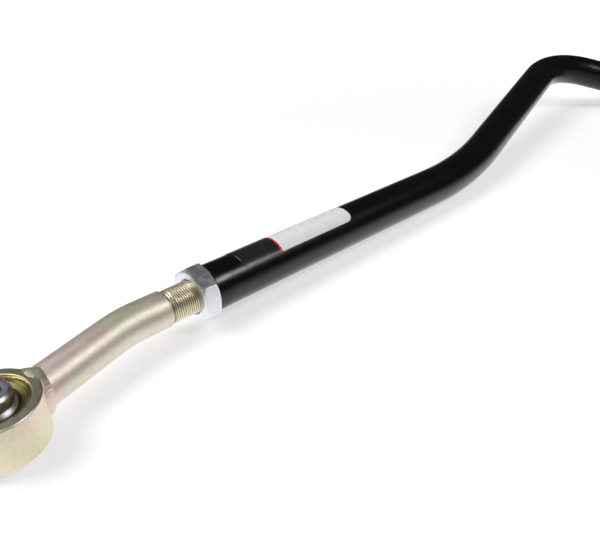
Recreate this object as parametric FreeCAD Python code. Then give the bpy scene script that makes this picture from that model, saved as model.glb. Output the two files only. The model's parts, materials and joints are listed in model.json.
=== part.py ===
import FreeCAD, Part
import math
import os

# Adjustable panhard rod (track bar) lying at rest on a flat surface.
# Lengths are millimetres and angles are degrees.
# The origin is the centre of the near eye. +Z is up, along both eyes' bolt axes.
# +X runs along the straight stretch of the tube, from the near eye towards the far eye.

# Tube
tube_od = 31.75
tube_wall = 5.6
tube_end_chamfer = 0.8
first_bend_radius = 350.0
second_bend_radius = 78.0

# Centre line, from eye to eye
near_run = 86.0
straight_run = 346.0
rising_run = 271.0
end_run = 130.0
shank_turn = 13.8
first_turn = 14.3
second_turn = 57.3
second_bend_lift = 53.5

# Threaded shank
shank_od = 23.8
shank_bend_radius = 90.0
thread_od = 22.0
thread_relief_depth = 0.9
thread_relief_width = 0.9
shoulder_to_bend = 27.0
shoulder_chamfer = 1.4
visible_thread = 19.4
thread_engagement = 85.0
thread_clearance = 0.08
thread_run_out = 20.0
adjust_in = 8.0
adjust_out = 30.0

# Jam nut
nut_across_flats = 34.0
nut_thickness = 12.3
nut_chamfer_angle = 30.0
nut_turn = 38.4
nut_seat_gap = 0.05
nut_floor_gap = 1.45

# Near eye: a ring with a ball on a sleeve, held by two races, a washer and a snap ring
ball_diameter = 32.0
near_sleeve_od = 22.0
near_sleeve_stand = 5.8
near_bolt_hole = 12.3
near_sleeve_chamfer = 1.4
race_wall = 3.0
race_split = 0.3
running_clearance = 0.05
misalignment = 10.0
misalignment_clearance = 0.4
ring_wall = 5.2
ring_edge = 0.9
washer_thickness = 1.6
washer_dish = 0.6
snap_ring_thickness = 1.4
snap_ring_width = 2.4
snap_groove_depth = 1.2
snap_groove_clearance = 0.1
snap_groove_land = 0.95
snap_ring_opening = 26.0
snap_ring_turn = 205.0
snap_lug_reach = 2.6
snap_lug_width = 4.6
snap_lug_hole = 1.9

# Far eye: a ring with a bonded rubber bush
far_ring_od = 56.0
far_ring_wall = 4.6
far_ring_height = 40.0
far_ring_edge = 1.0
bush_shell_wall = 1.8
far_sleeve_od = 25.0
far_sleeve_stand = 2.0
far_bolt_hole = 14.6
far_sleeve_chamfer = 1.2
rubber_recess = 3.0
rubber_end_inset = 1.0

# Welds
near_weld_leg = 2.6
near_weld_length = 4.5
far_weld_leg = 3.2
far_weld_length = 5.4

# Label on the tube
label_start = 82.5
label_length = 102.5
label_low_angle = 44.5
label_high_angle = 152.5
label_thickness = 0.15
label_corner = 6.0

UP = FreeCAD.Vector(0, 0, 1)
ORIGIN = FreeCAD.Vector(0, 0, 0)
FULL_TURN = 360.0
HEX_SIDES = 6

tube_radius = tube_od / 2
tube_bore_radius = tube_radius - tube_wall
shank_radius = shank_od / 2
thread_radius = thread_od / 2
tapped_radius = thread_radius + thread_clearance
nut_corner_radius = nut_across_flats / 2 / math.cos(math.pi / HEX_SIDES)

# Near eye, from the ball outwards
near_sleeve_radius = near_sleeve_od / 2
ball_radius = ball_diameter / 2
socket_radius = ball_radius + running_clearance
bore_radius = socket_radius + race_wall
ring_radius = bore_radius + ring_wall
ring_od = 2 * ring_radius


def tilt_radius(height):
    """Radius that the near sleeve needs at a height when the ball is tilted fully."""
    tilt = math.radians(misalignment)
    swept = near_sleeve_radius / math.cos(tilt) + abs(height) * math.tan(tilt)
    return swept + misalignment_clearance


def race_height():
    """Height above the ball's centre where the socket is as narrow as the tilted sleeve."""
    slope = math.tan(math.radians(misalignment))
    at_centre = tilt_radius(0)
    square = 1 + slope**2
    return (math.sqrt(square * socket_radius**2 - at_centre**2) - at_centre * slope) / square


race_half_height = race_height()
washer_low = race_half_height + running_clearance
washer_high = washer_low + washer_thickness
snap_ring_high = washer_high + snap_ring_thickness
groove_top = snap_ring_high + snap_groove_clearance
snap_groove_radius = bore_radius + snap_groove_depth
ring_half = groove_top + snap_groove_land
ring_height = 2 * ring_half
near_sleeve_length = ring_height + 2 * near_sleeve_stand
floor_z = -near_sleeve_length / 2

# Far eye, from the ring inwards
far_ring_radius = far_ring_od / 2
bush_radius = far_ring_radius - far_ring_wall
far_sleeve_radius = far_sleeve_od / 2
far_sleeve_length = far_ring_height + 2 * far_sleeve_stand


def level_direction(azimuth):
    """Unit vector in the plane of the floor."""
    angle = math.radians(azimuth)
    return FreeCAD.Vector(math.cos(angle), math.sin(angle), 0)


def at_height(point, height_above_floor):
    """The point with its height set above the floor that the rod lies on."""
    return FreeCAD.Vector(point.x, point.y, floor_z + height_above_floor)


def nut_rest_height():
    """Height of the thread axis where the nut's lowest corner just clears the floor."""
    corners = [nut_turn + FULL_TURN * i / HEX_SIDES for i in range(HEX_SIDES)]
    return nut_floor_gap + nut_corner_radius * max(-math.sin(math.radians(a)) for a in corners)


# Centre line. The rod rests on both sleeves and on the tube's first bend.
nut_back_from_bend = shoulder_to_bend + visible_thread + nut_thickness
nut_middle_from_bend = nut_back_from_bend - nut_thickness / 2
tube_slope = (nut_rest_height() - tube_radius) / (straight_run - nut_middle_from_bend)
near_eye = ORIGIN
shank_bend = at_height(
    level_direction(shank_turn) * near_run,
    nut_rest_height() + tube_slope * nut_middle_from_bend,
)
first_bend = at_height(
    shank_bend + level_direction(0) * straight_run,
    tube_radius,
)
second_bend = at_height(
    first_bend + level_direction(first_turn) * rising_run,
    second_bend_lift,
)
far_eye = at_height(
    second_bend + level_direction(first_turn - second_turn) * end_run,
    far_sleeve_length / 2,
)


def unit(vector):
    """The vector at length one."""
    return FreeCAD.Vector(vector).normalize()


thread_axis = unit(first_bend - shank_bend)
thread_side = unit(thread_axis.cross(UP))
thread_top = thread_side.cross(thread_axis)
shank_axis = unit(shank_bend - near_eye)
end_axis = unit(far_eye - second_bend)


def on_thread(distance):
    """A point on the thread axis, at that distance from the shank's bend."""
    return shank_bend + thread_axis * distance


tube_start = nut_back_from_bend + nut_seat_gap


def centre_line(points, radii):
    """Straight runs through the points, joined by tangent arcs of the given radii."""
    edges = []
    start = points[0]
    for before, corner, after, radius in zip(points, points[1:], points[2:], radii):
        come = unit(corner - before)
        leave = unit(after - corner)
        half_turn = come.getAngle(leave) / 2
        cut = radius * math.tan(half_turn)
        arc_start = corner - come * cut
        arc_end = corner + leave * cut
        inward = unit(leave - come)
        middle = corner + inward * (radius / math.cos(half_turn) - radius)
        edges.append(Part.LineSegment(start, arc_start).toShape())
        edges.append(Part.Arc(arc_start, middle, arc_end).toShape())
        start = arc_end
    edges.append(Part.LineSegment(start, points[-1]).toShape())
    return Part.Wire(edges)


def round_bar(points, radii, radius):
    """A solid round bar along a centre line."""
    path = centre_line(points, radii)
    along = unit(points[1] - points[0])
    section = Part.Face(Part.Wire(Part.makeCircle(radius, points[0], along)))
    return path.makePipe(section)


def turned(profile, centre, axis):
    """A solid turned from (distance along the axis, radius) points."""
    side = unit(axis.cross(UP)) if abs(axis.dot(UP)) < 0.9 else FreeCAD.Vector(1, 0, 0)
    corners = [centre + axis * along + side * radius for along, radius in profile]
    face = Part.Face(Part.makePolygon(corners + corners[:1]))
    return face.revolve(centre, axis, FULL_TURN)


def upright_ring(inner, outer, low, high, centre=ORIGIN):
    """A plain ring about an upright axis."""
    profile = [(low, inner), (low, outer), (high, outer), (high, inner)]
    return turned(profile, centre, UP)


def bar_tube():
    """The bent tube: tapped at its near end, and coped to the far eye."""
    points = [on_thread(tube_start), first_bend, second_bend, far_eye]
    radii = [first_bend_radius, second_bend_radius]
    outside = round_bar(points, radii, tube_radius)
    inside = round_bar(points, radii, tube_bore_radius)
    tapped_depth = thread_engagement + adjust_in + thread_run_out
    start = on_thread(tube_start)
    tapped = Part.makeCylinder(tapped_radius, tapped_depth, start, thread_axis)
    far_ring = Part.makeCylinder(
        far_ring_radius,
        2 * far_ring_od,
        far_eye - UP * far_ring_od,
        UP,
    )
    edge_ring = turned(
        [
            (0, tube_radius),
            (0, tube_radius - tube_end_chamfer),
            (tube_end_chamfer, tube_radius),
        ],
        start,
        thread_axis,
    )
    return outside.cut([inside, tapped, far_ring, edge_ring])


def adjuster_shank():
    """The bent shank: coped to the near eye, with a relieved shoulder and a thread."""
    points = [near_eye, shank_bend, on_thread(shoulder_to_bend)]
    bar = round_bar(points, [shank_bend_radius], shank_radius)
    bar = bar.cut(Part.makeCylinder(ring_radius, 2 * ring_od, ORIGIN - UP * ring_od, UP))
    relief_radius = thread_radius - thread_relief_depth
    thread_end = tube_start + thread_engagement - shoulder_to_bend
    profile = [
        (0, 0),
        (0, shank_radius),
        (shoulder_chamfer / 2, shank_radius - shoulder_chamfer),
        (shoulder_chamfer / 2, relief_radius),
        (shoulder_chamfer / 2 + thread_relief_width, relief_radius),
        (shoulder_chamfer / 2 + thread_relief_width + thread_relief_depth, thread_radius),
        (thread_end - thread_relief_depth, thread_radius),
        (thread_end, relief_radius),
        (thread_end, 0),
    ]
    thread = turned(profile, on_thread(shoulder_to_bend), thread_axis)
    return bar.fuse(thread).removeSplitter()


def jam_nut():
    """A hexagon nut, chamfered on both faces."""
    back = on_thread(nut_back_from_bend)
    front = back - thread_axis * nut_thickness
    corners = []
    for i in range(HEX_SIDES):
        angle = math.radians(nut_turn + FULL_TURN * i / HEX_SIDES)
        spoke = thread_side * math.cos(angle) + thread_top * math.sin(angle)
        corners.append(front + spoke * nut_corner_radius)
    hexagon = Part.Face(Part.makePolygon(corners + corners[:1]))
    blank = hexagon.extrude(thread_axis * nut_thickness)
    face_radius = nut_across_flats / 2
    drop = (nut_corner_radius - face_radius) * math.tan(math.radians(nut_chamfer_angle))
    turned_blank = turned(
        [
            (0, tapped_radius),
            (0, face_radius),
            (drop, nut_corner_radius),
            (nut_thickness - drop, nut_corner_radius),
            (nut_thickness, face_radius),
            (nut_thickness, tapped_radius),
        ],
        front,
        thread_axis,
    )
    return blank.common(turned_blank)


def near_eye_ring():
    """The ring of the near eye, with a lip below and a snap ring groove above."""
    lip_top = -race_half_height - running_clearance
    profile = [
        (-ring_half, tilt_radius(ring_half)),
        (-ring_half, ring_radius - ring_edge),
        (-ring_half + ring_edge, ring_radius),
        (ring_half - ring_edge, ring_radius),
        (ring_half, ring_radius - ring_edge),
        (ring_half, bore_radius + ring_edge / 2),
        (ring_half - ring_edge / 2, bore_radius),
        (groove_top, bore_radius),
        (groove_top, snap_groove_radius),
        (washer_high, snap_groove_radius),
        (washer_high, bore_radius),
        (lip_top, bore_radius),
        (lip_top, tilt_radius(ring_half)),
    ]
    return turned(profile, near_eye, UP)


def near_ball():
    """The ball and its sleeve in one piece, bored for the bolt."""
    half = near_sleeve_length / 2
    sleeve = turned(
        [
            (-half, 0),
            (-half, near_sleeve_radius - near_sleeve_chamfer),
            (-half + near_sleeve_chamfer, near_sleeve_radius),
            (half - near_sleeve_chamfer, near_sleeve_radius),
            (half, near_sleeve_radius - near_sleeve_chamfer),
            (half, 0),
        ],
        near_eye,
        UP,
    )
    ball = Part.makeSphere(ball_radius, near_eye)
    hole = Part.makeCylinder(
        near_bolt_hole / 2,
        near_sleeve_length,
        near_eye - UP * half,
        UP,
    )
    return sleeve.fuse(ball).cut(hole)


def near_race(side):
    """One race: a ring with a hollow that fits half of the ball. Side is 1 above, -1 below."""
    low, high = sorted([side * race_split / 2, side * race_half_height])
    outer = bore_radius - running_clearance
    blank = Part.makeCylinder(outer, high - low, near_eye + UP * low, UP)
    return blank.cut(Part.makeSphere(socket_radius, near_eye))


def retaining_washer():
    """The dished washer over the upper race."""
    rim = bore_radius - running_clearance
    inner = tilt_radius(washer_high)
    flat_inner = (rim + inner) / 2
    profile = [
        (washer_low, inner),
        (washer_low, rim),
        (washer_high, rim),
        (washer_high, flat_inner),
        (washer_high - washer_dish, inner),
    ]
    return turned(profile, near_eye, UP)


def snap_ring():
    """An internal snap ring, open at one side, with a drilled lug at each end."""
    outer = snap_groove_radius - running_clearance
    inner = outer - snap_ring_width - snap_groove_depth / 2
    ring = upright_ring(inner, outer, washer_high, snap_ring_high)
    reach = 2 * bore_radius
    opening = Part.makePolygon(
        [
            ORIGIN,
            level_direction(snap_ring_turn - snap_ring_opening / 2) * reach,
            level_direction(snap_ring_turn + snap_ring_opening / 2) * reach,
            ORIGIN,
        ]
    )
    gap = Part.Face(opening).extrude(UP * ring_half)
    ring = ring.cut(gap)
    lug_middle = inner - snap_lug_reach / 2
    lug_turn = snap_ring_opening / 2 + math.degrees(snap_lug_width / 2 / inner)
    for side in (-1, 1):
        spoke = level_direction(snap_ring_turn + side * lug_turn)
        base = spoke * lug_middle + UP * washer_high
        across = UP.cross(spoke) * (snap_lug_width / 2)
        inward = spoke * (-snap_lug_reach / 2)
        outward = spoke * (snap_lug_reach / 2 + snap_ring_width / 2)
        outline = [
            base + inward - across,
            base + outward - across,
            base + outward + across,
            base + inward + across,
        ]
        lug = Part.Face(Part.makePolygon(outline + outline[:1]))
        lug = lug.extrude(UP * snap_ring_thickness)
        hole = Part.makeCylinder(snap_lug_hole / 2, snap_ring_thickness, base, UP)
        ring = ring.fuse(lug).cut(hole)
    return ring.removeSplitter()


def far_eye_ring():
    """The ring of the far eye, cut from tube."""
    half = far_ring_height / 2
    profile = [
        (-half, bush_radius),
        (-half, far_ring_radius - far_ring_edge),
        (-half + far_ring_edge, far_ring_radius),
        (half - far_ring_edge, far_ring_radius),
        (half, far_ring_radius - far_ring_edge),
        (half, bush_radius),
    ]
    return turned(profile, far_eye, UP)


def far_bush_shell():
    """The thin outer shell of the bonded bush, pressed into the far eye."""
    half = far_ring_height / 2
    return upright_ring(bush_radius - bush_shell_wall, bush_radius, -half, half, far_eye)


def far_bush_rubber():
    """The rubber between the bush's shell and its sleeve, hollowed at both ends."""
    outer = bush_radius - bush_shell_wall
    inner = far_sleeve_radius + running_clearance
    half = far_ring_height / 2 - rubber_end_inset
    middle = (outer + inner) / 2
    profile = [
        (-half, outer),
        (half, outer),
        (half - rubber_recess, middle),
        (half, inner),
        (-half, inner),
        (-half + rubber_recess, middle),
    ]
    return turned(profile, far_eye, UP)


def far_sleeve():
    """The inner sleeve of the bonded bush, bored for the bolt."""
    half = far_sleeve_length / 2
    profile = [
        (-half, far_bolt_hole / 2),
        (-half, far_sleeve_radius - far_sleeve_chamfer),
        (-half + far_sleeve_chamfer, far_sleeve_radius),
        (half - far_sleeve_chamfer, far_sleeve_radius),
        (half, far_sleeve_radius - far_sleeve_chamfer),
        (half, far_bolt_hole / 2),
    ]
    return turned(profile, far_eye, UP)


def weld_bead(eye, eye_radius, eye_height, axis, bar_radius, leg, length):
    """A fillet weld round a bar where it meets the outside of an upright ring."""
    root = eye_radius * math.cos(math.asin(bar_radius / eye_radius))
    toe = eye_radius + length
    profile = [
        (root - leg, 0),
        (root - leg, bar_radius + leg),
        (root, bar_radius + leg),
        (toe, bar_radius),
        (toe, 0),
    ]
    flare = turned(profile, eye, axis)
    slab = Part.makeCylinder(
        3 * eye_radius,
        eye_height,
        eye - UP * (eye_height / 2),
        UP,
    )
    ring = Part.makeCylinder(eye_radius, 2 * eye_height, eye - UP * eye_height, UP)
    bar = Part.makeCylinder(bar_radius, 3 * eye_radius, eye, axis)
    return flare.common(slab).cut([ring, bar])


def near_weld():
    """The weld between the shank and the near eye."""
    height = ring_height - 2 * ring_edge
    return weld_bead(
        near_eye,
        ring_radius,
        height,
        shank_axis,
        shank_radius,
        near_weld_leg,
        near_weld_length,
    )


def far_weld():
    """The weld between the tube and the far eye."""
    height = far_ring_height - 2 * far_ring_edge
    return weld_bead(
        far_eye,
        far_ring_radius,
        height,
        end_axis * -1,
        tube_radius,
        far_weld_leg,
        far_weld_length,
    )


def label():
    """The label film, wrapped round the upper front of the tube."""
    start = on_thread(label_start)
    film = Part.makeCylinder(tube_radius + label_thickness, label_length, start, thread_axis)
    film = film.cut(Part.makeCylinder(tube_radius, label_length, start, thread_axis))
    middle = math.radians((label_low_angle + label_high_angle) / 2)
    half_width = tube_radius * math.radians(label_high_angle - label_low_angle) / 2
    outward = thread_side * math.cos(middle) + thread_top * math.sin(middle)
    across = thread_axis.cross(outward)
    spread = tube_od * math.sin(half_width / tube_radius) / 2
    corner = start - across * spread
    rise = across * (2 * spread)
    run = thread_axis * label_length
    outline = Part.Face(
        Part.makePolygon([corner, corner + run, corner + run + rise, corner + rise, corner])
    )
    stamp = outline.extrude(outward * tube_od)
    upright_edges = [
        edge
        for edge in stamp.Edges
        if abs(unit(edge.tangentAt(edge.FirstParameter)).dot(outward)) > 0.99
    ]
    return film.common(stamp.makeFillet(label_corner, upright_edges))


PARTS = {
    "bar_tube": bar_tube,
    "label": label,
    "jam_nut": jam_nut,
    "adjuster_shank": adjuster_shank,
    "near_eye_ring": near_eye_ring,
    "near_weld": near_weld,
    "retaining_washer": retaining_washer,
    "snap_ring": snap_ring,
    "upper_race": lambda: near_race(1),
    "lower_race": lambda: near_race(-1),
    "near_ball": near_ball,
    "far_eye_ring": far_eye_ring,
    "far_weld": far_weld,
    "far_bush_shell": far_bush_shell,
    "far_bush_rubber": far_bush_rubber,
    "far_sleeve": far_sleeve,
}

os.makedirs("parts", exist_ok=True)
for name, make in PARTS.items():
    shape = make()
    shape.exportStep(f"parts/{name}.step")
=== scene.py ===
import json
import math
import random

import bmesh
import bpy
from mathutils import Matrix, Vector


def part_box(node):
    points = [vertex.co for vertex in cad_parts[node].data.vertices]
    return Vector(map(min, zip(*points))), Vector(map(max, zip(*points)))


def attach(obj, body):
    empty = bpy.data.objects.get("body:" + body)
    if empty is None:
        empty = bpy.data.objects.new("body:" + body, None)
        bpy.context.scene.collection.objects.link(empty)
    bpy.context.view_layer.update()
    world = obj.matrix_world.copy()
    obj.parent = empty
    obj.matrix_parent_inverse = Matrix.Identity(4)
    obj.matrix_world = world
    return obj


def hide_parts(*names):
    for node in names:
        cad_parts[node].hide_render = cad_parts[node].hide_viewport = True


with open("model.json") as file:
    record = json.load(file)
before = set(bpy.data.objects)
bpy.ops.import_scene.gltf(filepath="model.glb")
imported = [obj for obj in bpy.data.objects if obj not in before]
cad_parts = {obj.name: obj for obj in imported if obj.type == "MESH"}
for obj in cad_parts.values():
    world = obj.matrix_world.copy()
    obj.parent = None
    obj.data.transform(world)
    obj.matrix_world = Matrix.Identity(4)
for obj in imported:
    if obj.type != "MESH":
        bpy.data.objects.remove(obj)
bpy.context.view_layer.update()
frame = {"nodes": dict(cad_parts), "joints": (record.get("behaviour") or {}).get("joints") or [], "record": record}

MM = 0.001
UP = Vector((0, 0, 1))

# Sizes that the rod's own boxes and joints don't give, in millimetres and degrees
TUBE_RADIUS = 31.75 / 2
TUBE_BORE_RADIUS = TUBE_RADIUS - 5.6
# How far the drawn tube stays inside its true radius, so that its facets don't stand out of it
TUBE_SKIN = 0.12
TUBE_MOUTH_EDGE = 0.8
TAPPED_RADIUS = 11.08
TAPPED_MOUTH_RADIUS = 11.7
TAPPED_MOUTH_DEPTH = 0.6
TAPPED_DEPTH_SHOWN = 10.0
# The tube's coped end: how far it runs into the ring, the straight run before it, its wall's edge
TUBE_INTO_RING = 1.0
STRAIGHT_BEFORE_COPE = 6.0
COPED_EDGE = 4.0
SHANK_INTO_RING = 0.6
NEAR_RUN = 86.0
SHANK_TURN = 13.8
STRAIGHT_RUN = 346.0
RISING_RUN = 271.0
FIRST_TURN = 14.3
SECOND_BEND_LIFT = 53.5
FIRST_BEND_RADIUS = 350.0
SECOND_BEND_RADIUS = 78.0
SHANK_RADIUS = 23.8 / 2
SHANK_BEND_RADIUS = 90.0
THREAD_RADIUS = 22.0 / 2
THREAD_PITCH = 1.5
THREAD_DEPTH = 0.85
SHOULDER_TO_BEND = 27.0
THREAD_ENGAGEMENT = 85.0
RELIEF_DEPTH = 0.95
SHOULDER_CHAMFER = 1.4
# Share of the thread's depth below which its faces count as the root, which is painted in a dark zinc as shade
ROOT_SHARE = 0.3
NUT_THICKNESS = 12.3
NUT_ACROSS_FLATS = 34.0
NUT_CORNER_RADIUS = 0.5
NUT_CHAMFER_ANGLE = 30.0
# The nut's flat face as a share of half its width, and the countersink round its thread
NUT_FACE_SHARE = 0.965
NUT_COUNTERSINK = 1.1
NUT_THREAD_GAP = 0.02
NUT_TURN = 38.4
RING_RADIUS = 24.25
RING_HALF = 13.25
RING_EDGE = 1.0
BORE_RADIUS = 19.05
LIP_RADIUS = 13.9
LIP_TOP = -9.2
GROOVE_LOW = 10.8
GROOVE_HIGH = 12.3
GROOVE_DEPTH = 1.2
BALL_RADIUS = 16.0
NEAR_SLEEVE_RADIUS = 11.0
NEAR_SLEEVE_CHAMFER = 1.4
NEAR_BOLT_RADIUS = 6.15
FAR_RING_RADIUS = 28.0
FAR_RING_HALF = 20.0
LABEL_START = 82.5
LABEL_LENGTH = 102.5
LABEL_LOW = 44.5
LABEL_HIGH = 152.5
LABEL_CORNER = 6.0
LABEL_THICKNESS = 0.12
LABEL_INTO_TUBE = 0.2
LABEL_BLACK_END = 31.5
LABEL_RED_END = 33.0

# How deep a weld's hidden root lies in the bar
WELD_ROOT = 1.5

# Longest step along a straight run of a bent bar, and facets round it
RUN_STEP = 12
BAR_SEGMENTS = 96

# Light that the floor gives of itself, to the camera and in reflections
FLOOR_GLOW = 0.60
FLOOR_GLOW_MIRRORED = 0.98


# Places


def level(azimuth):
    angle = math.radians(azimuth)
    return Vector((math.cos(angle), math.sin(angle), 0))


mounts = {m["name"]: m for m in frame["record"]["mounts"]}
joints = {j["name"]: j for j in frame["joints"]}
near_eye = Vector(mounts["near_bolt_bore"]["pos_m"]) / MM
far_eye = Vector(mounts["far_bolt_bore"]["pos_m"]) / MM
floor_z = Vector(mounts["near_sleeve_foot"]["pos_m"]).z / MM
thread_axis = -Vector(joints["adjuster_slide"]["axis"]).normalized()
thread_side = thread_axis.cross(UP).normalized()
thread_top = thread_side.cross(thread_axis)
nut_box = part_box("jam_nut")
nut_middle = (nut_box[0] + nut_box[1]) / 2 / MM
shank_bend = level(SHANK_TURN) * NEAR_RUN
shank_bend.z = nut_middle.z + (shank_bend.x - nut_middle.x) * thread_axis.z / thread_axis.x
first_bend = shank_bend + level(0) * STRAIGHT_RUN
first_bend.z = floor_z + TUBE_RADIUS
second_bend = first_bend + level(FIRST_TURN) * RISING_RUN
second_bend.z = floor_z + SECOND_BEND_LIFT


def on_thread(distance):
    return shank_bend + thread_axis * distance


nut_distance = (nut_middle - shank_bend).dot(thread_axis)
nut_front = nut_distance - NUT_THICKNESS / 2
nut_back = nut_distance + NUT_THICKNESS / 2
tube_start = nut_back + 0.05


# Meshes


def make_object(name, verts, faces):
    """A smooth object from points in millimetres."""
    mesh = bpy.data.meshes.new(name)
    mesh.from_pydata([tuple(Vector(v) * MM) for v in verts], [], faces)
    bm = bmesh.new()
    bm.from_mesh(mesh)
    bmesh.ops.remove_doubles(bm, verts=bm.verts, dist=1e-6)
    bmesh.ops.dissolve_degenerate(bm, edges=bm.edges, dist=1e-7)
    bmesh.ops.recalc_face_normals(bm, faces=bm.faces)
    bm.to_mesh(mesh)
    bm.free()
    mesh.polygons.foreach_set("use_smooth", [True] * len(mesh.polygons))
    obj = bpy.data.objects.new(name, mesh)
    bpy.context.scene.collection.objects.link(obj)
    return obj


def sharp_edges(obj, angle):
    """Marks the edges that turn by more than the angle as sharp."""
    mesh = obj.data
    bm = bmesh.new()
    bm.from_mesh(mesh)
    limit = math.radians(angle)
    for edge in bm.edges:
        if len(edge.link_faces) == 2 and edge.calc_face_angle(0) > limit:
            edge.smooth = False
    bm.to_mesh(mesh)
    bm.free()


def weighted_shading(obj):
    """Lets each large face set the shading of the small ones round it."""
    modifier = obj.modifiers.new("weighted_normals", "WEIGHTED_NORMAL")
    modifier.keep_sharp = True
    modifier.weight = 90


def ring_faces(rows, columns):
    """Faces of a ring-shaped grid, closed along and across."""
    faces = []
    for i in range(rows):
        for j in range(columns):
            a = i * columns + j
            b = i * columns + (j + 1) % columns
            c = ((i + 1) % rows) * columns + (j + 1) % columns
            d = ((i + 1) % rows) * columns + j
            faces.append((a, b, c, d))
    return faces


def rounded(profile, steps=4):
    """A closed profile of (along, radius, corner radius) points with each corner rounded."""
    result = []
    count = len(profile)
    for i, (along, radius, fillet) in enumerate(profile):
        here = Vector((along, radius))
        if fillet <= 0:
            result.append((along, radius))
            continue
        before = Vector(profile[i - 1][:2]) - here
        after = Vector(profile[(i + 1) % count][:2]) - here
        turn = math.pi - before.angle(after)
        cut = fillet * math.tan(turn / 2)
        start = here + before.normalized() * cut
        end = here + after.normalized() * cut
        centre = here + (before.normalized() + after.normalized()).normalized() * (
            fillet / math.cos(turn / 2)
        )
        from_centre = start - centre
        to_centre = end - centre
        for k in range(steps + 1):
            mix = from_centre.slerp(to_centre, k / steps, from_centre)
            point = centre + mix.normalized() * fillet
            result.append((point.x, point.y))
    return result


def lathe(name, profile, centre, axis, segments):
    """A turned piece from (distance along the axis, radius) points."""
    helper = UP if abs(axis.dot(UP)) < 0.9 else Vector((1, 0, 0))
    side = axis.cross(helper).normalized()
    other = axis.cross(side)
    verts = []
    for along, radius in profile:
        for j in range(segments):
            turn = math.tau * j / segments
            spoke = side * math.cos(turn) + other * math.sin(turn)
            verts.append(centre + axis * along + spoke * radius)
    faces = ring_faces(len(profile), segments)
    return make_object(name, verts, faces)


def path_points(points, radii, arc_step=1.5):
    """Points and directions along straight runs joined by tangent arcs."""
    result = []
    start = points[0]
    for before, corner, after, radius in zip(points, points[1:], points[2:], radii):
        come = (corner - before).normalized()
        leave = (after - corner).normalized()
        turn = come.angle(leave)
        cut = radius * math.tan(turn / 2)
        arc_start = corner - come * cut
        inward = (leave - come * leave.dot(come)).normalized()
        centre = arc_start + inward * radius
        run = (arc_start - start).length
        pieces = max(2, int(run / RUN_STEP))
        for k in range(pieces):
            result.append((start + come * (run * k / pieces), come))
        steps = max(8, int(math.degrees(turn) / arc_step))
        for k in range(steps):
            bend = turn * k / steps
            out = -inward * math.cos(bend) + come * math.sin(bend)
            along = come * math.cos(bend) + inward * math.sin(bend)
            result.append((centre + out * radius, along))
        start = corner + leave * cut
    last = (points[-1] - start).normalized()
    run = (points[-1] - start).length
    pieces = max(2, int(run / RUN_STEP))
    for k in range(pieces + 1):
        result.append((start + last * (run * k / pieces), last))
    return result


def carried_side(path):
    """A side direction for each path point, carried along with no twist."""
    side = path[0][1].cross(UP).normalized()
    sides = []
    before = path[0][1]
    for _, along in path:
        side = side.copy()
        side.rotate(before.rotation_difference(along))
        side = (side - along * side.dot(along)).normalized()
        sides.append(side)
        before = along
    return sides


def cope(point, along, eye, radius):
    """Distances from the point, along the direction, to an upright cylinder's two sides."""
    flat = Vector((along.x, along.y))
    offset = Vector((point.x - eye.x, point.y - eye.y))
    a = flat.dot(flat)
    b = 2 * offset.dot(flat)
    c = offset.dot(offset) - radius**2
    root = math.sqrt(max(b * b - 4 * a * c, 0))
    near, far = (-b - root) / (2 * a), (-b + root) / (2 * a)
    return near, far


def tube():
    """The bent tube, open and tapped at the near end and coped to the far eye."""
    points = [on_thread(tube_start), first_bend, second_bend, far_eye]
    path = path_points(points, [FIRST_BEND_RADIUS, SECOND_BEND_RADIUS])
    sides = carried_side(path)
    segments = BAR_SEGMENTS
    end = FAR_RING_RADIUS - TUBE_INTO_RING
    nearest = end + TUBE_RADIUS + STRAIGHT_BEFORE_COPE
    keep = [i for i, (p, _) in enumerate(path) if (p - far_eye).length > nearest]
    verts = []

    def ring(point, along, side, radius, push=0.0):
        other = along.cross(side)
        for j in range(segments):
            turn = math.tau * j / segments
            spoke = side * math.cos(turn) + other * math.sin(turn)
            verts.append(point + spoke * radius + along * push)

    first, last = keep[0], keep[-1]
    point, along = path[first]
    side = sides[first]
    rows = 0
    edge = TUBE_MOUTH_EDGE
    mouth = [
        (TAPPED_DEPTH_SHOWN, TAPPED_RADIUS),
        (TAPPED_MOUTH_DEPTH, TAPPED_RADIUS),
        (0, TAPPED_MOUTH_RADIUS),
        (0, TUBE_RADIUS - edge),
    ]
    for push, radius in mouth:
        ring(point, along, side, radius, push)
        rows += 1
    for k in range(5):
        turn = math.radians(90 * k / 4)
        ring(
            point,
            along,
            side,
            TUBE_RADIUS - edge + edge * math.sin(turn),
            edge - edge * math.cos(turn),
        )
        rows += 1
    for i in keep[1:]:
        ring(path[i][0], path[i][1], sides[i], TUBE_RADIUS - TUBE_SKIN)
        rows += 1
    for radius in (TUBE_RADIUS, TUBE_RADIUS - COPED_EDGE):
        point, along = path[last]
        other = along.cross(sides[last])
        for j in range(segments):
            turn = math.tau * j / segments
            spoke = sides[last] * math.cos(turn) + other * math.sin(turn)
            start = point + spoke * radius
            near, _ = cope(start, along, far_eye, end)
            verts.append(start + along * near)
        rows += 1
    for i in reversed(keep):
        ring(path[i][0], path[i][1], sides[i], TUBE_BORE_RADIUS)
        rows += 1
    obj = make_object("tube", verts, ring_faces(rows, segments))
    sharp_edges(obj, 40)
    return obj


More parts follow.
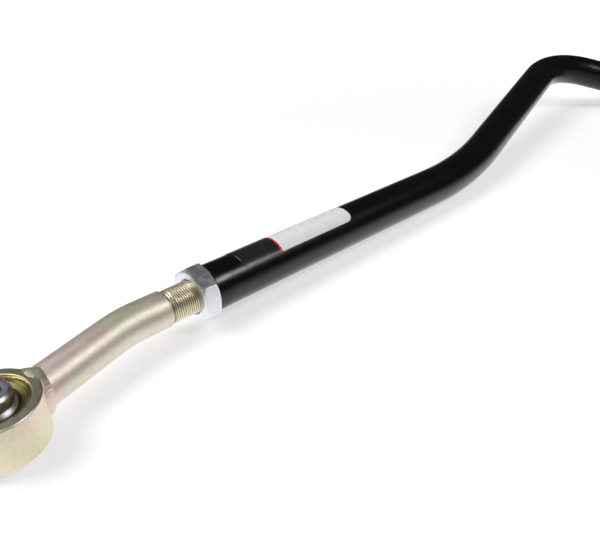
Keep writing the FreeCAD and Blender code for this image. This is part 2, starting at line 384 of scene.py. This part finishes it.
def threaded_shank():
    """The bent shank with its relieved shoulder and a helical thread."""
    segments = BAR_SEGMENTS
    shoulder = on_thread(SHOULDER_TO_BEND)
    path = path_points([near_eye, shank_bend, shoulder], [SHANK_BEND_RADIUS], arc_step=0.5)
    nearest = RING_RADIUS + SHANK_RADIUS * 0.4
    path = [(p, a) for p, a in path if (p - near_eye).length > nearest]
    sides = carried_side(path)
    verts = []
    point, along = path[0]
    other = along.cross(sides[0])
    for j in range(segments):
        turn = math.tau * j / segments
        spoke = sides[0] * math.cos(turn) + other * math.sin(turn)
        start = point + spoke * SHANK_RADIUS
        _, far = cope(start, along, near_eye, RING_RADIUS - SHANK_INTO_RING)
        verts.append(start + along * far)
    rows = 1
    for i, (point, along) in enumerate(path[:-1]):
        other = along.cross(sides[i])
        for j in range(segments):
            turn = math.tau * j / segments
            spoke = sides[i] * math.cos(turn) + other * math.sin(turn)
            verts.append(point + spoke * SHANK_RADIUS)
        rows += 1
    side = sides[-1]
    along = path[-1][1]
    other = along.cross(side)

    def ring(distance, radius):
        for j in range(segments):
            turn = math.tau * j / segments
            spoke = side * math.cos(turn) + other * math.sin(turn)
            verts.append(shoulder + along * distance + spoke * radius)

    relief = THREAD_RADIUS - RELIEF_DEPTH
    chamfer = SHOULDER_CHAMFER
    for k in range(6):
        turn = math.radians(90 * k / 5)
        ring(
            -chamfer * 0.5 + chamfer * math.sin(turn),
            SHANK_RADIUS - chamfer + chamfer * math.cos(turn),
        )
        rows += 1
    ring(chamfer * 0.5 + 0.1, relief + 0.15)
    ring(chamfer * 0.5 + 0.3, relief)
    rows += 2
    start = chamfer * 0.5 + 0.9
    ring(start, relief)
    rows += 1
    thread_start = start + 0.1
    thread_end = tube_start + THREAD_ENGAGEMENT - SHOULDER_TO_BEND
    minor = THREAD_RADIUS - THREAD_DEPTH
    # one turn of the thread: share of the pitch, share of the depth
    shape = [
        (0.00, 0.0),
        (0.06, 0.0),
        (0.20, 0.35),
        (0.42, 0.90),
        (0.48, 1.0),
        (0.60, 1.0),
        (0.66, 0.90),
        (0.86, 0.37),
    ]
    turns = int((thread_end - thread_start) / THREAD_PITCH) + 2
    fade = 1.6 * THREAD_PITCH
    for i in range(-1, turns):
        for phase, height in shape:
            for j in range(segments):
                turn = math.tau * j / segments
                spoke = side * math.cos(turn) + other * math.sin(turn)
                distance = thread_start + (i + phase + j / segments) * THREAD_PITCH
                lead_in = min(1.0, max(0.0, (distance - thread_start) / fade))
                lead_out = min(1.0, max(0.0, (thread_end - distance) / fade))
                radius = minor + THREAD_DEPTH * height * min(lead_in, lead_out) ** 0.6
                distance = min(max(distance, thread_start), thread_end)
                verts.append(shoulder + along * distance + spoke * radius)
            rows += 1
    faces = []
    for i in range(rows - 1):
        thread_row = i >= rows - (turns + 1) * len(shape)
        for j in range(segments):
            a = i * segments + j
            d = (i + 1) * segments + j
            if j < segments - 1:
                b, c = a + 1, d + 1
            elif thread_row:
                # the next turn's rows carry on where this turn's rows end
                if i + 1 + len(shape) >= rows:
                    continue
                b = (i + len(shape)) * segments
                c = (i + 1 + len(shape)) * segments
            else:
                b, c = i * segments, (i + 1) * segments
            faces.append((a, b, c, d))
    obj = make_object("threaded_shank", verts, faces)
    sharp_edges(obj, 35)
    return obj


def hex_outline(apothem, corner, per_side=10, per_corner=5):
    """Angle and radius of points round a hexagon with rounded corners."""
    points = []
    inner = apothem - corner
    for i in range(6):
        turn = math.radians(60 * i)
        centre = Vector((math.cos(turn), math.sin(turn))) * (inner / math.cos(math.pi / 6))
        for k in range(per_corner + 1):
            a = turn + math.radians(-30 + 60 * k / per_corner)
            points.append(centre + Vector((math.cos(a), math.sin(a))) * corner)
        nxt = math.radians(60 * (i + 1))
        following = Vector((math.cos(nxt), math.sin(nxt))) * (inner / math.cos(math.pi / 6))
        a = turn + math.radians(30)
        start = centre + Vector((math.cos(a), math.sin(a))) * corner
        end = following + Vector((math.cos(a), math.sin(a))) * corner
        for k in range(1, per_side):
            points.append(start.lerp(end, k / per_side))
    return points


def hex_nut():
    """The hexagon nut with both faces chamfered."""
    outline = hex_outline(NUT_ACROSS_FLATS / 2, NUT_CORNER_RADIUS)
    segments = len(outline)
    face_radius = NUT_ACROSS_FLATS / 2 * NUT_FACE_SHARE
    slope = math.tan(math.radians(NUT_CHAMFER_ANGLE))
    bore = THREAD_RADIUS + NUT_THREAD_GAP
    sunk = bore + NUT_COUNTERSINK
    rows = []
    for sign in (1, -1):
        part = []
        part.append([(bore, 1.2)] * segments)
        part.append([(sunk, 0.1)] * segments)
        part.append([(sunk + 0.2, 0.0)] * segments)
        part.append([(face_radius - 0.25, 0.0)] * segments)
        part.append([(face_radius, 0.05)] * segments)
        for mix in (0.5, 1.0):
            ring = []
            for p in outline:
                full = p.length
                radius = face_radius + (full - face_radius) * mix
                depth = 0.05 + max(0.0, (radius - face_radius)) * slope
                ring.append((radius, depth))
            part.append(ring)
        part.append([(p.length, 0.30 + max(0.0, p.length - face_radius) * slope) for p in outline])
        if sign == -1:
            part.reverse()
        rows += [(sign, ring) for ring in part]
    back = on_thread(nut_back)
    front = on_thread(nut_front)
    base_turn = math.radians(NUT_TURN)
    verts = []
    for sign, ring in rows:
        for p, (radius, depth) in zip(outline, ring):
            a = math.atan2(p.y, p.x) + base_turn
            spoke = thread_side * math.cos(a) + thread_top * math.sin(a)
            origin = front + thread_axis * depth if sign == 1 else back - thread_axis * depth
            verts.append(origin + spoke * radius)
    obj = make_object("hex_nut", verts, ring_faces(len(rows), segments))
    sharp_edges(obj, 24)
    return obj


def ring_skin(start, along, eye, eye_radius, half_height, edge=RING_EDGE):
    """Where a weld's toe lies on a ring, over its rounded edge, and the way out of the ring."""
    _, far = cope(start, along, eye, eye_radius)
    flat = start + along * far - eye
    height = abs(flat.z)
    sign = math.copysign(1, flat.z)
    flat.z = 0
    outward = flat.normalized()
    over = height - (half_height - edge)
    if over <= 0:
        return eye + outward * eye_radius + UP * sign * height, outward
    turn = min(over / edge, math.pi / 2)
    inward = 1.5 * max(0.0, over - edge * math.pi / 2)
    radius = eye_radius - edge + edge * math.cos(turn) - inward
    rise = half_height - edge + edge * math.sin(turn)
    way_out = outward * math.cos(turn) + UP * sign * math.sin(turn)
    return eye + outward * radius + UP * sign * rise, way_out


def bead(name, eye, eye_radius, half_height, along, bar_radius, leg, length, ripple):
    """A weld round a bar where it meets an upright ring. It climbs over the ring's edges."""
    segments = 288
    across = 22
    side = along.cross(UP).normalized()
    other = side.cross(along).normalized()
    rng = random.Random(5)
    phases = [rng.uniform(0, math.tau) for _ in range(8)]
    verts = []
    rows = []
    for j in range(segments):
        turn = math.tau * j / segments
        spoke = side * math.cos(turn) + other * math.sin(turn)
        wave = sum(math.sin(turn * (k + 2) + phases[k]) for k in range(4)) / 4
        reach = leg * (1 + 0.10 * wave)
        on_ring, inner = ring_skin(
            eye + spoke * (bar_radius + reach), along, eye, eye_radius, half_height
        )
        base = eye + spoke * bar_radius
        _, wall = cope(base, along, eye, eye_radius)
        on_bar = base + along * (wall + length * (1 + 0.08 * math.sin(turn * 5 + phases[5])))
        lift = (spoke + along * 0.8 * (1 - abs(spoke.z) ** 3)).normalized()
        column = []
        for i in range(across + 1):
            mix = i / across
            swell = 4 * mix * (1 - mix)
            scallop = math.sin(turn * ripple + 3.0 * (mix - 0.5) ** 2 * 4 + phases[6])
            push = swell * (0.30 + 0.15 * wave) + swell * 0.07 * scallop
            column.append(on_ring.lerp(on_bar, mix) + lift * push)
        root = base - spoke * WELD_ROOT
        column.append(root + along * (wall + length * 0.8))
        column.append(root + along * (wall - WELD_ROOT))
        column.append(on_ring - inner)
        rows.append(column)
    count = len(rows[0])
    for i in range(count):
        for column in rows:
            verts.append(column[i])
    obj = make_object(name, verts, ring_faces(count, segments))
    sharp_edges(obj, 50)
    return obj


def film():
    """The label film with rounded corners, as a grid over the tube."""
    columns, rows = 180, 90
    radius = TUBE_RADIUS + LABEL_THICKNESS
    middle = (LABEL_LOW + LABEL_HIGH) / 2
    half = math.radians((LABEL_HIGH - LABEL_LOW) / 2) * TUBE_RADIUS
    corner = LABEL_CORNER
    verts, coords = [], []
    for layer_radius in (radius, TUBE_RADIUS - LABEL_INTO_TUBE):
        for i in range(rows + 1):
            v = -half + 2 * half * i / rows
            inset = 0.0
            edge = abs(v) - (half - corner)
            if edge > 0:
                inset = corner - math.sqrt(max(corner**2 - edge**2, 0))
            for j in range(columns + 1):
                u = inset + (LABEL_LENGTH - 2 * inset) * j / columns
                a = math.radians(middle) + v / TUBE_RADIUS
                spoke = thread_side * math.cos(a) + thread_top * math.sin(a)
                verts.append(on_thread(LABEL_START + u) + spoke * layer_radius)
                coords.append((u, v))
    per = (rows + 1) * (columns + 1)
    faces = []
    for i in range(rows):
        for j in range(columns):
            a = i * (columns + 1) + j
            faces.append((a, a + 1, a + columns + 2, a + columns + 1))
            faces.append((per + a, per + a + columns + 1, per + a + columns + 2, per + a + 1))
    border = list(range(columns + 1))
    border += [(i + 1) * (columns + 1) + columns for i in range(rows)]
    border += [rows * (columns + 1) + columns - 1 - j for j in range(columns)]
    border += [(rows - 1 - i) * (columns + 1) for i in range(rows - 1)]
    for a, b in zip(border, border[1:] + border[:1]):
        faces.append((b, a, per + a, per + b))
    mesh = bpy.data.meshes.new("label_film")
    mesh.from_pydata([tuple(v * MM) for v in verts], [], faces)
    layer = mesh.uv_layers.new(name="film")
    for loop in mesh.loops:
        layer.data[loop.index].uv = coords[loop.vertex_index]
    mesh.polygons.foreach_set("use_smooth", [True] * len(mesh.polygons))
    obj = bpy.data.objects.new("label_film", mesh)
    bpy.context.scene.collection.objects.link(obj)
    bm = bmesh.new()
    bm.from_mesh(mesh)
    bmesh.ops.recalc_face_normals(bm, faces=bm.faces)
    bm.to_mesh(mesh)
    bm.free()
    return obj


# Materials


class Nodes:
    """Short calls for building one material's nodes."""

    def __init__(self, name):
        self.material = bpy.data.materials.new(name)
        self.material.use_nodes = True
        self.tree = self.material.node_tree
        self.shader = self.tree.nodes["Principled BSDF"]
        self.coords = self.tree.nodes.new("ShaderNodeTexCoord").outputs["Object"]

    def new(self, kind, **values):
        node = self.tree.nodes.new(kind)
        for key, value in values.items():
            setattr(node, key, value)
        return node

    def link(self, output, socket):
        self.tree.links.new(output, socket)

    def noise(self, scale, detail=4.0, roughness=0.55):
        node = self.new("ShaderNodeTexNoise")
        node.inputs["Scale"].default_value = scale
        node.inputs["Detail"].default_value = detail
        node.inputs["Roughness"].default_value = roughness
        self.link(self.coords, node.inputs["Vector"])
        return node.outputs["Fac"]

    def ramp(self, value, stops):
        node = self.new("ShaderNodeValToRGB")
        ramp = node.color_ramp
        while len(ramp.elements) < len(stops):
            ramp.elements.new(0.5)
        for element, (position, color) in zip(ramp.elements, stops):
            element.position = position
            if isinstance(color, (int, float)):
                color = (color, color, color)
            element.color = (*color, 1)
        self.link(value, node.inputs["Fac"])
        return node.outputs["Color"]

    def mix(self, factor, first, second, blend="MIX"):
        node = self.new("ShaderNodeMix", data_type="RGBA", blend_type=blend)
        for socket, value in ((0, factor), (6, first), (7, second)):
            if isinstance(value, bpy.types.NodeSocket):
                self.link(value, node.inputs[socket])
            elif socket == 0:
                node.inputs[0].default_value = value
            else:
                node.inputs[socket].default_value = (*value, 1)
        return node.outputs[2]

    def math(self, operation, first, second):
        node = self.new("ShaderNodeMath", operation=operation)
        for socket, value in ((0, first), (1, second)):
            if isinstance(value, bpy.types.NodeSocket):
                self.link(value, node.inputs[socket])
            else:
                node.inputs[socket].default_value = value
        return node.outputs[0]

    def bump(self, height, strength, distance, under=None):
        node = self.new("ShaderNodeBump")
        node.inputs["Strength"].default_value = strength
        node.inputs["Distance"].default_value = distance
        self.link(height, node.inputs["Height"])
        if under is not None:
            self.link(under, node.inputs["Normal"])
        return node.outputs["Normal"]

    def feed(self, socket, value):
        target = self.shader.inputs[socket]
        if isinstance(value, bpy.types.NodeSocket):
            self.link(value, target)
        else:
            target.default_value = value


def powder_coat():
    """Satin black with a fine orange peel."""
    n = Nodes("powder_coat")
    deep, light = (0.0028, 0.0028, 0.003), (0.0045, 0.0045, 0.0048)
    n.feed("Base Color", n.ramp(n.noise(35, 3), [(0.3, deep), (0.7, light)]))
    n.feed("Roughness", n.ramp(n.noise(120, 4), [(0.3, 0.21), (0.7, 0.27)]))
    peel = n.bump(n.noise(900, 2, 0.5), 0.10, 0.0004)
    n.feed("Normal", peel)
    n.feed("Specular IOR Level", 0.39)
    return n.material


def yellow_zinc(name, base, rough):
    """Yellow passivated zinc that drifts between pink and green."""
    n = Nodes(name)
    n.feed("Metallic", 0.97)
    cloud = n.noise(55, 4, 0.6)
    pink = tuple(c * f for c, f in zip(base, (1.04, 0.93, 1.0)))
    green = tuple(c * f for c, f in zip(base, (0.96, 1.02, 0.93)))
    tone = n.ramp(cloud, [(0.36, green), (0.5, base), (0.64, pink)])
    fine = n.ramp(n.noise(420, 5, 0.7), [(0.25, (0.86, 0.86, 0.86)), (0.75, (1, 1, 1))])
    n.feed("Base Color", n.mix(1.0, tone, fine, "MULTIPLY"))
    n.feed("Roughness", n.ramp(n.noise(260, 5, 0.65), [(0.3, rough[0]), (0.7, rough[1])]))
    first = n.bump(n.noise(700, 4, 0.6), 0.12, 0.0003)
    n.feed("Normal", n.bump(n.noise(60, 3), 0.05, 0.002, first))
    return n.material


def clear_zinc():
    """Blue-white zinc."""
    n = Nodes("clear_zinc")
    base = (0.78, 0.81, 0.84)
    n.feed("Metallic", 1.0)
    fine = n.ramp(n.noise(300, 5, 0.6), [(0.3, tuple(c * 0.9 for c in base)), (0.7, base)])
    n.feed("Base Color", fine)
    n.feed("Roughness", n.ramp(n.noise(180, 4), [(0.3, 0.32), (0.7, 0.44)]))
    n.feed("Normal", n.bump(n.noise(800, 3), 0.08, 0.0003))
    return n.material


def bare_steel(name, base, rough):
    """Machined steel."""
    n = Nodes(name)
    n.feed("Metallic", 1.0)
    worn = tuple(c * 0.88 for c in base)
    n.feed("Base Color", n.ramp(n.noise(160, 4), [(0.3, worn), (0.7, base)]))
    n.feed("Roughness", n.ramp(n.noise(240, 4), [(0.3, rough[0]), (0.7, rough[1])]))
    n.feed("Normal", n.bump(n.noise(900, 3), 0.06, 0.0003))
    return n.material


def dull(name, dark, light, rough):
    """Polymer or rubber with a fine grain."""
    n = Nodes(name)
    n.feed("Base Color", n.ramp(n.noise(90, 4), [(0.3, dark), (0.7, light)]))
    n.feed("Roughness", n.ramp(n.noise(200, 4), [(0.3, rough[0]), (0.7, rough[1])]))
    n.feed("Normal", n.bump(n.noise(500, 4), 0.2, 0.0004))
    return n.material


def label_print():
    """Three plain fields along the film: black, a thin red line and white."""
    n = Nodes("label_print")
    uv = n.new("ShaderNodeUVMap", uv_map="film").outputs["UV"]
    split = n.new("ShaderNodeSeparateXYZ")
    n.link(uv, split.inputs[0])
    along = split.outputs["X"]
    speck = n.noise(700, 3)
    black = n.ramp(speck, [(0.3, (0.012, 0.012, 0.013)), (0.7, (0.02, 0.02, 0.021))])
    white = n.ramp(speck, [(0.3, (0.70, 0.71, 0.72)), (0.7, (0.78, 0.79, 0.80))])
    red = (0.55, 0.02, 0.02)
    past_black = n.math("GREATER_THAN", along, LABEL_BLACK_END)
    past_red = n.math("GREATER_THAN", along, LABEL_RED_END)
    color = n.mix(past_red, n.mix(past_black, black, red), white)
    n.feed("Base Color", color)
    n.feed("Roughness", n.ramp(n.noise(200, 3), [(0.3, 0.22), (0.7, 0.30)]))
    n.feed("Normal", n.bump(n.noise(500, 2), 0.04, 0.0003))
    return n.material


# Pieces


def turned_faces(obj, material, low=0.95, high=1.01):
    """Gives the faces whose normal rises between low and high a material of their own."""
    obj.data.materials.append(material)
    for face in obj.data.polygons:
        if low < abs(face.normal.z) < high:
            face.material_index = len(obj.data.materials) - 1


def place(obj, body, slot, material, *nodes):
    """Puts a piece on its body, in place of the solids named."""
    obj.data.materials.clear()
    obj.data.materials.append(material)
    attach(obj, body)
    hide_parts(*nodes)
    return obj


coat = powder_coat()
zinc = yellow_zinc("yellow_zinc_shank", base=(0.73, 0.675, 0.575), rough=(0.50, 0.58))
zinc_thread = yellow_zinc("yellow_zinc_thread", base=(0.80, 0.74, 0.56), rough=(0.36, 0.44))
# Painted shade: a dark copy of the zinc for the faces deep in the thread's root
zinc_root_painted_shade = yellow_zinc("yellow_zinc_root_painted_shade", base=(0.30, 0.26, 0.15), rough=(0.36, 0.44))
zinc_ring = yellow_zinc("yellow_zinc_ring", base=(0.79, 0.71, 0.545), rough=(0.42, 0.52))
zinc_weld = yellow_zinc("yellow_zinc_weld", base=(0.72, 0.65, 0.56), rough=(0.44, 0.56))
zinc_bright = yellow_zinc("yellow_zinc_bright", base=(0.70, 0.60, 0.26), rough=(0.2, 0.3))
# Painted shade: a darker copy of the ring's zinc for its flat faces
zinc_face_painted_shade = yellow_zinc("yellow_zinc_face_painted_shade", base=(0.35, 0.335, 0.25), rough=(0.38, 0.48))
# Painted shade: a very dark zinc for the washer down in the eye's recess
zinc_washer_painted_shade = yellow_zinc("yellow_zinc_washer_painted_shade", base=(0.20, 0.18, 0.08), rough=(0.30, 0.40))
# Painted highlight: a paler copy of the ring's zinc for its rounded edges
zinc_edge_painted_highlight = yellow_zinc("yellow_zinc_edge_painted_highlight", base=(0.80, 0.76, 0.64), rough=(0.36, 0.46))
steel_face = bare_steel("bare_steel_face", (0.36, 0.33, 0.40), (0.36, 0.46))
nut_zinc = clear_zinc()
steel = bare_steel("bare_steel", (0.56, 0.55, 0.57), (0.18, 0.30))
ball_steel = bare_steel("ball_steel", (0.42, 0.41, 0.42), (0.34, 0.44))
polymer = dull("race_polymer", (0.030, 0.028, 0.022), (0.05, 0.045, 0.035), (0.45, 0.6))
rubber = dull("bush_rubber", (0.012, 0.012, 0.012), (0.02, 0.02, 0.02), (0.6, 0.75))

place(tube(), "bar", "black_powder_coat", coat, "bar_tube")
place(film(), "bar", "label_film", label_print(), "label")
place(hex_nut(), "jam_nut", "clear_zinc", nut_zinc, "jam_nut")
shank_piece = place(threaded_shank(), "adjuster", "yellow_zinc", zinc, "adjuster_shank")
shank_piece.data.materials.append(zinc_thread)
shank_piece.data.materials.append(zinc_root_painted_shade)
# Past the shoulder the thread's faces get the thread zinc, and those deep in its root the dark zinc of painted
# shade
past_shoulder = 0.9
shaded_root_radius = THREAD_RADIUS - THREAD_DEPTH * (1 - ROOT_SHARE)
for face in shank_piece.data.polygons:
    from_shoulder = face.center / MM - on_thread(SHOULDER_TO_BEND)
    along = from_shoulder.dot(thread_axis)
    from_axis = (from_shoulder - thread_axis * along).length
    if along > past_shoulder:
        face.material_index = 1 if from_axis > shaded_root_radius else 2

ring_profile = rounded(
    [
        (-RING_HALF, LIP_RADIUS, 0.4),
        (-RING_HALF, RING_RADIUS, RING_EDGE),
        (RING_HALF, RING_RADIUS, RING_EDGE),
        (RING_HALF, BORE_RADIUS, 0.35),
        (GROOVE_HIGH, BORE_RADIUS, 0.0),
        (GROOVE_HIGH, BORE_RADIUS + GROOVE_DEPTH, 0.0),
        (GROOVE_LOW, BORE_RADIUS + GROOVE_DEPTH, 0.0),
        (GROOVE_LOW, BORE_RADIUS, 0.0),
        (LIP_TOP, BORE_RADIUS, 0.0),
        (LIP_TOP, LIP_RADIUS, 0.3),
    ]
)
ring_piece = lathe("eye_ring", ring_profile, near_eye, UP, 192)
sharp_edges(ring_piece, 35)
weighted_shading(ring_piece)
place(ring_piece, "adjuster", "yellow_zinc", zinc_ring, "near_eye_ring")
# The ring's flat top and bottom faces get the darker zinc of painted shade
turned_faces(ring_piece, zinc_face_painted_shade)
# The slanted faces of the ring's rounded edges get the paler zinc of a painted highlight
turned_faces(ring_piece, zinc_edge_painted_highlight, 0.15, 0.95)

shank_along = (shank_bend - near_eye).normalized()
near_bead = bead(
    "eye_weld",
    near_eye,
    RING_RADIUS,
    RING_HALF,
    shank_along,
    SHANK_RADIUS,
    leg=2.6,
    length=4.5,
    ripple=38,
)
place(near_bead, "adjuster", "yellow_zinc", zinc_weld, "near_weld")


def ball_profile(ball, sleeve, half, hole, chamfer):
    """Ball and sleeve in one turned outline."""
    meet = math.sqrt(ball**2 - sleeve**2)
    points = [(-half, hole + 0.4), (-half, sleeve - chamfer - 0.15)]
    points += [(-half + 0.1, sleeve - chamfer), (-half + chamfer, sleeve - 0.1)]
    points += [(-half + chamfer + 0.2, sleeve), (-meet - 0.15, sleeve)]
    limit = math.asin(meet / ball)
    for k in range(25):
        a = -limit + 2 * limit * k / 24
        points.append((ball * math.sin(a), ball * math.cos(a)))
    mirrored = [(-along, radius) for along, radius in reversed(points[:6])]
    points += mirrored
    points += [(half - 0.4, hole), (-half + 0.4, hole)]
    return points


sleeve_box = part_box("near_ball")
half_sleeve = (sleeve_box[1].z - sleeve_box[0].z) / MM / 2
ball_outline = ball_profile(
    BALL_RADIUS, NEAR_SLEEVE_RADIUS, half_sleeve, NEAR_BOLT_RADIUS, NEAR_SLEEVE_CHAMFER
)
ball_piece = lathe("ball_and_sleeve", ball_outline, near_eye, UP, 160)
sharp_edges(ball_piece, 50)
weighted_shading(ball_piece)
place(ball_piece, "near_ball", "bare_steel", ball_steel, "near_ball")
turned_faces(ball_piece, steel_face)

cad_materials = {
    # The washer in the eye's recess takes the dark zinc of painted shade
    "retaining_washer": zinc_washer_painted_shade,
    "snap_ring": zinc_bright,
    "upper_race": polymer,
    "lower_race": polymer,
    "far_eye_ring": coat,
    "far_bush_shell": steel,
    "far_bush_rubber": rubber,
    "far_sleeve": nut_zinc,
}
for name, material in cad_materials.items():
    node = frame["nodes"][name]
    node.data.materials.clear()
    node.data.materials.append(material)

far_along = (second_bend - far_eye).normalized()
far_bead = bead(
    "far_eye_weld",
    far_eye,
    FAR_RING_RADIUS,
    FAR_RING_HALF,
    far_along,
    TUBE_RADIUS,
    leg=3.2,
    length=5.4,
    ripple=48,
)
place(far_bead, "bar", "black_powder_coat", coat, "far_weld")


# Floor, light and camera


def floor_material():
    """A white floor that keeps shadows and shows white where nothing shades it."""
    material = bpy.data.materials.new("floor_white")
    material.use_nodes = True
    tree = material.node_tree
    tree.nodes.remove(tree.nodes["Principled BSDF"])

    def new(kind, **values):
        node = tree.nodes.new(kind)
        for key, value in values.items():
            setattr(node, key, value)
        return node

    def maths(operation, first, second):
        node = new("ShaderNodeMath", operation=operation)
        for socket, value in ((0, first), (1, second)):
            if isinstance(value, bpy.types.NodeSocket):
                tree.links.new(value, node.inputs[socket])
            else:
                node.inputs[socket].default_value = value
        return node.outputs[0]

    def map_range(value, come, leave, interpolation):
        node = new("ShaderNodeMapRange", interpolation_type=interpolation)
        node.inputs["From Min"].default_value, node.inputs["From Max"].default_value = come
        node.inputs["To Min"].default_value, node.inputs["To Max"].default_value = leave
        tree.links.new(value, node.inputs["Value"])
        return node.outputs["Result"]

    diffuse = new("ShaderNodeBsdfDiffuse")
    diffuse.inputs["Color"].default_value = (0.43, 0.43, 0.43, 1)
    path = new("ShaderNodeLightPath")
    place_on_floor = new("ShaderNodeTexCoord").outputs["Object"]
    length = new("ShaderNodeVectorMath", operation="LENGTH")
    tree.links.new(place_on_floor, length.inputs[0])
    from_middle = length.outputs["Value"]
    far = map_range(from_middle, (0.30, 1.1), (FLOOR_GLOW, 1.0), "LINEAR")
    seen = maths("MULTIPLY", path.outputs["Is Camera Ray"], far)
    near = map_range(from_middle, (0.42, 0.80), (FLOOR_GLOW_MIRRORED, 0.0), "LINEAR")
    axes = new("ShaderNodeSeparateXYZ")
    tree.links.new(place_on_floor, axes.inputs[0])
    # the rod's own line over the floor, in metres from the floor's middle
    past_bend = maths("MAXIMUM", maths("SUBTRACT", axes.outputs["X"], 0.08), 0.0)
    rod_line = maths("ADD", maths("MULTIPLY", past_bend, 0.268), 0.02)
    away = maths("ABSOLUTE", maths("SUBTRACT", axes.outputs["Y"], rod_line), 0.0)
    reflection_strip = map_range(away, (0.0, 0.16), (1.0, 0.12), "SMOOTHERSTEP")
    # Painted reflection: a glow that only glossy and transmission rays see, strongest near the floor's middle and
    # along the rod's line
    mirrored = maths("MAXIMUM", path.outputs["Is Glossy Ray"], path.outputs["Is Transmission Ray"])
    mirrored = maths("MULTIPLY", mirrored, near)
    mirrored = maths("MULTIPLY", mirrored, reflection_strip)
    emission = new("ShaderNodeEmission")
    tree.links.new(maths("MAXIMUM", seen, mirrored), emission.inputs["Strength"])
    both = new("ShaderNodeAddShader")
    tree.links.new(diffuse.outputs[0], both.inputs[0])
    tree.links.new(emission.outputs[0], both.inputs[1])
    tree.links.new(both.outputs[0], tree.nodes["Material Output"].inputs["Surface"])
    return material


bpy.ops.mesh.primitive_plane_add(size=16, location=(0.35, 0, floor_z * MM - 0.0001))
floor = bpy.context.object
floor.name = "floor"
floor.data.materials.append(floor_material())


def studio_sky():
    """Dim sky, a little lighter low down, and white where the camera looks past the floor."""
    world = bpy.data.worlds.new("world")
    bpy.context.scene.world = world
    world.use_nodes = True
    tree = world.node_tree
    background = tree.nodes["Background"]
    coords = tree.nodes.new("ShaderNodeTexCoord")
    split = tree.nodes.new("ShaderNodeSeparateXYZ")
    tree.links.new(coords.outputs["Generated"], split.inputs[0])
    ramp = tree.nodes.new("ShaderNodeValToRGB")
    sky = [(0.0, 0.08), (0.10, 0.05), (0.25, 0.03), (1.0, 0.018)]
    while len(ramp.color_ramp.elements) < len(sky):
        ramp.color_ramp.elements.new(0.5)
    for element, (position, value) in zip(ramp.color_ramp.elements, sky):
        element.position = position
        element.color = (value, value, value, 1)
    tree.links.new(split.outputs["Z"], ramp.inputs["Fac"])
    path = tree.nodes.new("ShaderNodeLightPath")
    mix = tree.nodes.new("ShaderNodeMix")
    mix.data_type = "RGBA"
    tree.links.new(path.outputs["Is Camera Ray"], mix.inputs[0])
    tree.links.new(ramp.outputs["Color"], mix.inputs[6])
    mix.inputs[7].default_value = (1, 1, 1, 1)
    tree.links.new(mix.outputs[2], background.inputs["Color"])
    background.inputs["Strength"].default_value = 1.0


def area_light(name, direction, distance, target, size, power, short_side):
    """A soft box that looks at the target from the direction given, in metres and watts."""
    data = bpy.data.lights.new(name, "AREA")
    data.shape = "RECTANGLE"
    data.size, data.size_y = size
    data.energy = power
    obj = bpy.data.objects.new(name, data)
    bpy.context.scene.collection.objects.link(obj)
    obj.location = Vector(target) + Vector(direction).normalized() * distance
    away = Vector(direction).normalized()
    across = away.cross(Vector(short_side)).normalized()
    upward = away.cross(across)
    obj.rotation_euler = Matrix((across, upward, away)).transposed().to_euler()


studio_sky()
area_light("right_box", (0.42, -0.546, 0.725), 1.4, (0.16, 0.02, 0), (0.47, 0.37), 7.8, UP)
area_light("left_box", (-0.52, 0.34, 0.78), 1.7, (0.3, 0, 0), (0.9, 0.85), 27, UP)

# The camera stands where the photo's edges put it
camera_data = bpy.data.cameras.new("camera")
camera_data.sensor_width = 36
camera_data.lens = 38.76
camera_data.clip_start = 0.01
camera = bpy.data.objects.new("camera", camera_data)
bpy.context.scene.collection.objects.link(camera)
camera.location = (-0.0495, -0.2712, 0.2311)
camera.rotation_euler = (math.radians(58.305), math.radians(0.276), math.radians(-43.426))
bpy.context.scene.camera = camera
bpy.context.scene.view_settings.view_transform = "Standard"
